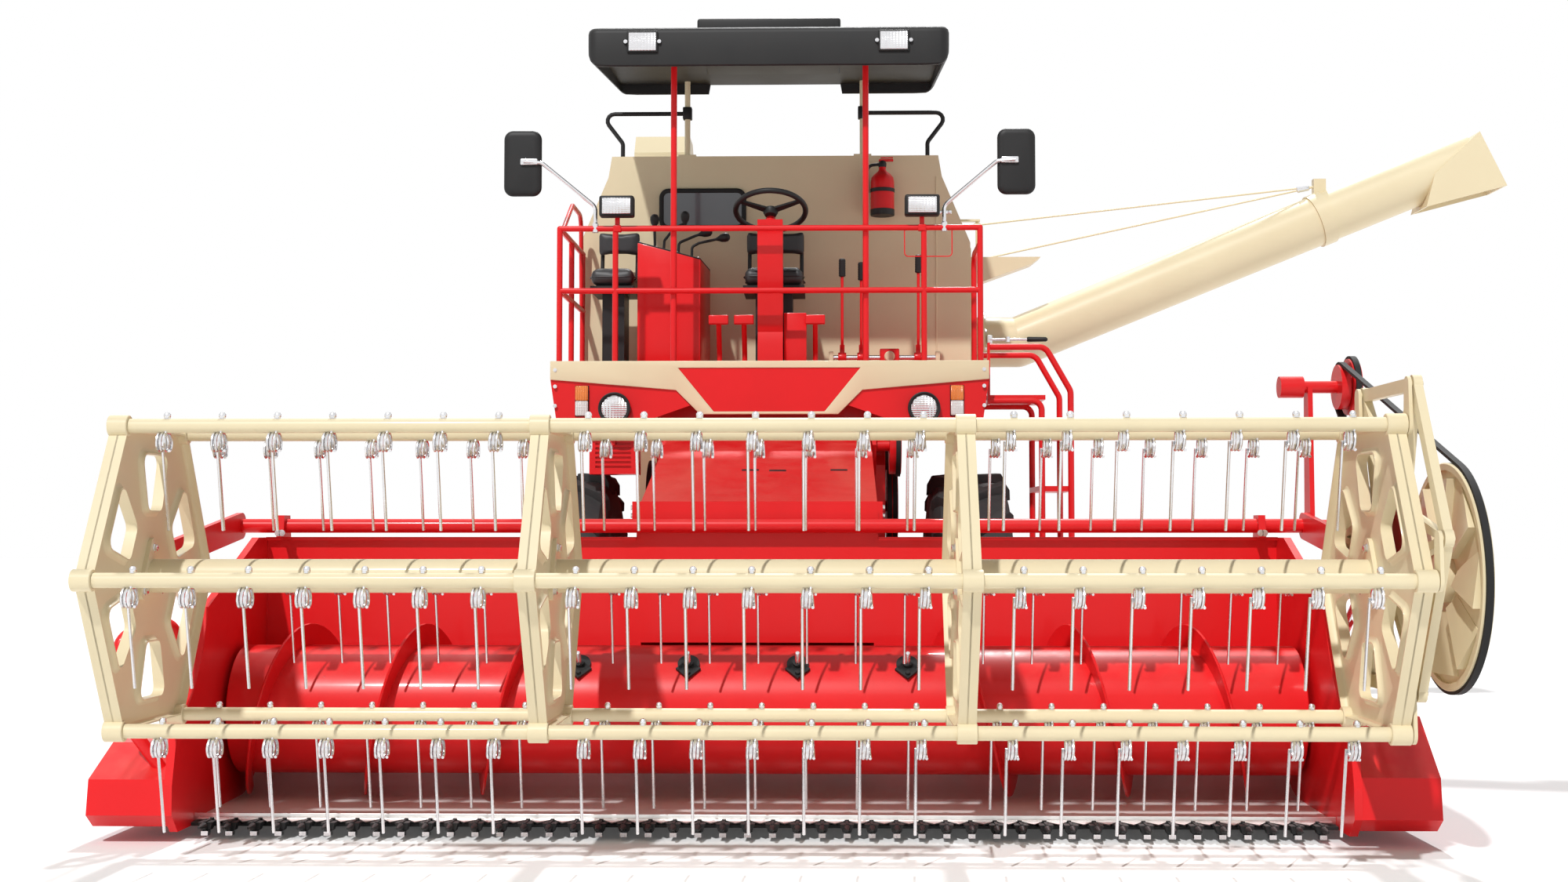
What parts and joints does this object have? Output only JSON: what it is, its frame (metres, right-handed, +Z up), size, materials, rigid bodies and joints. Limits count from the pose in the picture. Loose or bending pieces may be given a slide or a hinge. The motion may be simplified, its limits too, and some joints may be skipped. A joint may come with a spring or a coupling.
{
  "type": "combine harvester",
  "caption": "Self-propelled combine harvester with a tined reel, cutter bar, intake auger, open driver's platform under a canopy, grain tank and folding unloading auger.",
  "frame": {"origin": "bottom centre of the bounding box, on the ground the tyres stand on", "axes": "+Y towards the machine's rear (it drives towards -Y), +X to its left, +Z up"},
  "size_m": [6.6272, 8.565, 3.8204],
  "materials": {
    "black_plastic": "satin black plastic",
    "bright_steel": "steel worn bright by the crop",
    "cast_grey": "machined and oiled grey iron",
    "chrome": "polished plate",
    "cream_paint": "semi-gloss cream paint",
    "lamp_glass": "clear lamp lenses in black bodies",
    "red_paint": "semi-gloss red paint",
    "rubber": "matt black rubber",
    "seat_vinyl": "padded black vinyl",
    "tyre_black": "ribbed and lugged tread, dusty satin",
    "window_glass": "dark tinted glass in a rubber frame"
  },
  "bodies": {
    "machine": {"canopy": "black_plastic", "canopy_posts": "red_paint", "chassis_frame": "red_paint", "cleaning_shoe": "red_paint", "control_console": "red_paint", "drive_belts": "rubber", "drive_pulleys": "cast_grey", "engine": "cast_grey", "engine_housing": "red_paint", "fascia_band": "cream_paint", "fire_extinguisher": "red_paint", "front_axle": "red_paint", "grain_elevator": "cream_paint", "grain_tank": "cream_paint", "guard_rails": "red_paint", "ladder": "red_paint", "lamps": "lamp_glass", "mirrors": "black_plastic", "operator_platform": "red_paint", "rear_axle": "red_paint", "seat_cushions": "seat_vinyl", "seat_frames": "black_plastic", "steering_wheel": "black_plastic", "straw_hood": "red_paint", "straw_walkers": "cream_paint", "tank_window": "window_glass", "threshing_body": "red_paint", "unloader_stub": "cream_paint"},
    "front_wheel_left": {"front_tyre_left": "tyre_black", "front_rim_left": "cream_paint"},
    "front_wheel_right": {"front_tyre_right": "tyre_black", "front_rim_right": "cream_paint"},
    "knuckle_left": {"steering_knuckle_left": "red_paint"},
    "knuckle_right": {"steering_knuckle_right": "red_paint"},
    "rear_wheel_left": {"rear_tyre_left": "tyre_black", "rear_rim_left": "cream_paint"},
    "rear_wheel_right": {"rear_tyre_right": "tyre_black", "rear_rim_right": "cream_paint"},
    "header": {"feeder_house": "red_paint", "header_pan": "bright_steel", "header_frame": "red_paint", "cutter_bar": "bright_steel"},
    "lift_cylinder_barrels": {"lift_barrels": "red_paint"},
    "lift_cylinder_rods": {"lift_rods": "chrome"},
    "auger": {"auger": "red_paint"},
    "reel_arms": {"reel_arms": "red_paint", "reel_belts": "rubber"},
    "reel_cylinder_barrels": {"reel_lift_barrels": "red_paint"},
    "reel_cylinder_rods": {"reel_lift_rods": "chrome"},
    "reel": {"reel_frame": "cream_paint"},
    "tine_bar_1": {"tine_bar_1": "cream_paint"},
    "tine_bar_2": {"tine_bar_2": "cream_paint"},
    "tine_bar_3": {"tine_bar_3": "cream_paint"},
    "tine_bar_4": {"tine_bar_4": "cream_paint"},
    "tine_bar_5": {"tine_bar_5": "cream_paint"},
    "tine_bar_6": {"tine_bar_6": "cream_paint"},
    "tine_spider": {"tine_control_spider": "cream_paint"},
    "unloader": {"unloader_tube": "cream_paint"},
    "screen": {"rotary_screen": "bright_steel"}
  },
  "joints": [
    {"name": "front_wheel_left_spin", "type": "hinge", "parent": "machine", "child": "front_wheel_left", "pos_m": [0.1734, -0.1235, 0.7354], "axis": [1, 0, 0], "continuous": true},
    {"name": "steer_left", "type": "hinge", "parent": "machine", "child": "knuckle_left", "pos_m": [-0.1366, 3.4265, 0.4504], "axis": [0, 0, 1], "range_deg": [-30, 30]},
    {"name": "rear_wheel_left_spin", "type": "hinge", "parent": "knuckle_left", "child": "rear_wheel_left", "pos_m": [0.0534, 3.4265, 0.4504], "axis": [1, 0, 0], "continuous": true},
    {"name": "front_wheel_right_spin", "type": "hinge", "parent": "machine", "child": "front_wheel_right", "pos_m": [-1.9266, -0.1235, 0.7354], "axis": [1, 0, 0], "continuous": true},
    {"name": "steer_right", "type": "hinge", "parent": "machine", "child": "knuckle_right", "pos_m": [-1.6166, 3.4265, 0.4504], "axis": [0, 0, 1], "range_deg": [-30, 30]},
    {"name": "rear_wheel_right_spin", "type": "hinge", "parent": "knuckle_right", "child": "rear_wheel_right", "pos_m": [-1.8066, 3.4265, 0.4504], "axis": [1, 0, 0], "continuous": true},
    {"name": "header_lift", "type": "hinge", "parent": "machine", "child": "header", "pos_m": [-0.8766, -0.5235, 1.6004], "axis": [-1, 0, 0], "range_deg": [0, 22]},
    {"name": "lift_barrel_swing", "type": "hinge", "parent": "machine", "child": "lift_cylinder_barrels", "pos_m": [-0.8766, -0.2735, 0.5904], "axis": [-1, 0, 0], "range_deg": [-0.5, 19.49]},
    {"name": "lift_rod_slide", "type": "slide", "parent": "lift_cylinder_barrels", "child": "lift_cylinder_rods", "axis": [0, -0.9843, -0.1765], "range_m": [-0.005, 0.3927]},
    {"name": "reel_lift", "type": "hinge", "parent": "header", "child": "reel_arms", "pos_m": [-0.8266, -2.2655, 1.1804], "axis": [-1, 0, 0], "range_deg": [0, 28]},
    {"name": "reel_lift_barrel_swing", "type": "hinge", "parent": "header", "child": "reel_cylinder_barrels", "pos_m": [-0.8266, -2.3635, 0.5604], "axis": [-1, 0, 0], "range_deg": [-0.5, 17.58]},
    {"name": "reel_lift_rod_slide", "type": "slide", "parent": "reel_cylinder_barrels", "child": "reel_cylinder_rods", "axis": [0, -0.8279, 0.5608], "range_m": [-0.005, 0.2601]},
    {"name": "auger_spin", "type": "hinge", "parent": "header", "child": "auger", "pos_m": [-0.8266, -2.5835, 0.4304], "axis": [1, 0, 0], "continuous": true},
    {"name": "reel_spin", "type": "hinge", "parent": "reel_arms", "child": "reel", "pos_m": [-0.8266, -3.6455, 1.0004], "axis": [1, 0, 0], "continuous": true},
    {"name": "tine_bar_1_turn", "type": "hinge", "parent": "reel", "child": "tine_bar_1", "pos_m": [-0.8266, -4.2455, 1.0004], "axis": [1, 0, 0], "continuous": true},
    {"name": "tine_bar_2_turn", "type": "hinge", "parent": "reel", "child": "tine_bar_2", "pos_m": [-0.8266, -3.9455, 1.52001], "axis": [1, 0, 0], "continuous": true},
    {"name": "tine_bar_3_turn", "type": "hinge", "parent": "reel", "child": "tine_bar_3", "pos_m": [-0.8266, -3.3455, 1.52001], "axis": [1, 0, 0], "continuous": true},
    {"name": "tine_bar_4_turn", "type": "hinge", "parent": "reel", "child": "tine_bar_4", "pos_m": [-0.8266, -3.0455, 1.0004], "axis": [1, 0, 0], "continuous": true},
    {"name": "tine_bar_5_turn", "type": "hinge", "parent": "reel", "child": "tine_bar_5", "pos_m": [-0.8266, -3.3455, 0.48078], "axis": [1, 0, 0], "continuous": true},
    {"name": "tine_bar_6_turn", "type": "hinge", "parent": "reel", "child": "tine_bar_6", "pos_m": [-0.8266, -3.9455, 0.48078], "axis": [1, 0, 0], "continuous": true},
    {"name": "tine_spider_spin", "type": "hinge", "parent": "reel_arms", "child": "tine_spider", "pos_m": [-0.8266, -3.6455, 1.1374], "axis": [1, 0, 0], "continuous": true},
    {"name": "unloader_swing", "type": "hinge", "parent": "machine", "child": "unloader", "pos_m": [0.3124, 0.8435, 2.2504], "axis": [0, 0, 1], "range_deg": [0, 90]},
    {"name": "rotary_screen_spin", "type": "hinge", "parent": "machine", "child": "screen", "pos_m": [-1.8916, 2.2465, 2.3804], "axis": [1, 0, 0], "continuous": true}
  ],
  "couplings": [
    {"joint": "steer_right", "follows": "steer_left", "ratio": 1},
    {"joint": "lift_barrel_swing", "follows": "header_lift", "ratio": 0.85849},
    {"joint": "lift_rod_slide", "follows": "header_lift", "m_per_rad": 1.0072},
    {"joint": "reel_lift_barrel_swing", "follows": "reel_lift", "ratio": 0.60651},
    {"joint": "reel_lift_rod_slide", "follows": "reel_lift", "m_per_rad": 0.5199},
    {"joint": "tine_bar_1_turn", "follows": "reel_spin", "ratio": -1},
    {"joint": "tine_bar_2_turn", "follows": "reel_spin", "ratio": -1},
    {"joint": "tine_bar_3_turn", "follows": "reel_spin", "ratio": -1},
    {"joint": "tine_bar_4_turn", "follows": "reel_spin", "ratio": -1},
    {"joint": "tine_bar_5_turn", "follows": "reel_spin", "ratio": -1},
    {"joint": "tine_bar_6_turn", "follows": "reel_spin", "ratio": -1},
    {"joint": "tine_spider_spin", "follows": "reel_spin", "ratio": 1}
  ]
}
